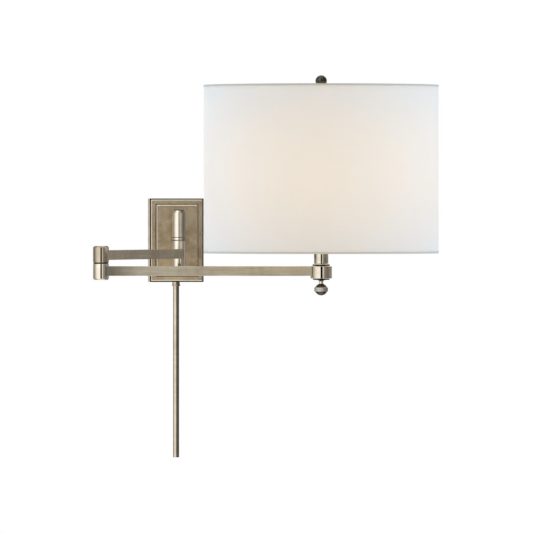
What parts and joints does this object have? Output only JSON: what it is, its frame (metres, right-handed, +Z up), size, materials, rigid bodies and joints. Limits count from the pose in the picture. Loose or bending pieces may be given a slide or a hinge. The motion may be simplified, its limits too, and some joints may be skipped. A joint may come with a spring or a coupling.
{
  "type": "wall-mounted swing arm lamp",
  "caption": "Wall-mounted reading lamp with a double swing arm, panelled rectangular backplate, cord-cover tube, white drum shade with ball finial and a ball switch knob.",
  "frame": {"origin": "centre of the backplate's back face, on the wall plane", "axes": "+X to the right as seen from the room, +Y into the wall, +Z up; the arms are at their rest pose"},
  "size_m": [0.4089, 0.4475, 0.4627],
  "materials": {
    "nickel": "antique nickel: warm grey-brown, softly polished with slight mottling",
    "dark_nickel": "antique nickel toned dark, polished",
    "steel": "zinc-plated, satin",
    "brass": "unlacquered brass, satin",
    "linen": "natural white linen on a clear backing, hemmed edges",
    "porcelain": "glazed white",
    "black_plastic": "moulded, satin",
    "frosted_glass": "white inner frosting"
  },
  "bodies": {
    "wall_mount": {"mounting_plate": "steel", "backplate_cover": "nickel", "cover_screw_left": "nickel", "cover_screw_right": "nickel", "ground_screw": "steel", "terminal_block": "porcelain", "post_pipe": "steel", "pipe_nut": "steel", "post_boss": "nickel", "shoulder_post": "nickel", "shoulder_ring": "nickel", "tube_nut": "brass", "cord_collar": "nickel", "cord_cover_tube": "nickel"},
    "arm_1": {"shoulder_hub": "nickel", "shoulder_pin": "steel", "shoulder_bottom_cap": "nickel", "arm_1_bar": "nickel", "elbow_upper_hub": "nickel", "elbow_top_cap": "nickel", "elbow_pin": "steel"},
    "arm_2": {"elbow_washer": "brass", "elbow_lower_hub": "nickel", "elbow_bottom_cap": "nickel", "arm_2_bar": "nickel", "head_hub": "nickel", "switch_body": "black_plastic", "lower_flange": "nickel", "stem_flange": "nickel", "socket_stem": "nickel", "socket_pipe": "steel", "harp_saddle": "nickel", "socket_cup": "nickel", "socket_shell": "nickel", "socket_liner": "porcelain", "bulb_base": "brass", "bulb_glass": "frosted_glass", "harp_sleeve_left": "nickel", "harp_sleeve_right": "nickel", "harp": "nickel", "harp_stud": "brass", "shade_spider": "brass", "shade_top_ring": "brass", "shade_bottom_ring": "brass", "shade_drum": "linen"},
    "finial": {"finial": "dark_nickel"},
    "switch_knob": {"knob_ball": "dark_nickel", "knob_shaft": "steel"}
  },
  "joints": [
    {"name": "shoulder", "type": "hinge", "parent": "wall_mount", "child": "arm_1", "pos_m": [0, -0.04, -0.0165], "axis": [0, 0, 1], "range_deg": [-56.8, 113.1]},
    {"name": "elbow", "type": "hinge", "parent": "arm_1", "child": "arm_2", "pos_m": [-0.12361, -0.27101, -0.026], "axis": [0, 0, 1], "range_deg": [-240, 19.8]},
    {"name": "finial_turn", "type": "hinge", "parent": "arm_2", "child": "finial", "pos_m": [0.13584, -0.30747, 0.1905], "axis": [0, 0, 1], "continuous": true},
    {"name": "switch_turn", "type": "hinge", "parent": "arm_2", "child": "switch_knob", "pos_m": [0.13584, -0.30747, -0.0573], "axis": [0, 0, 1], "range_deg": [0, 300]}
  ]
}
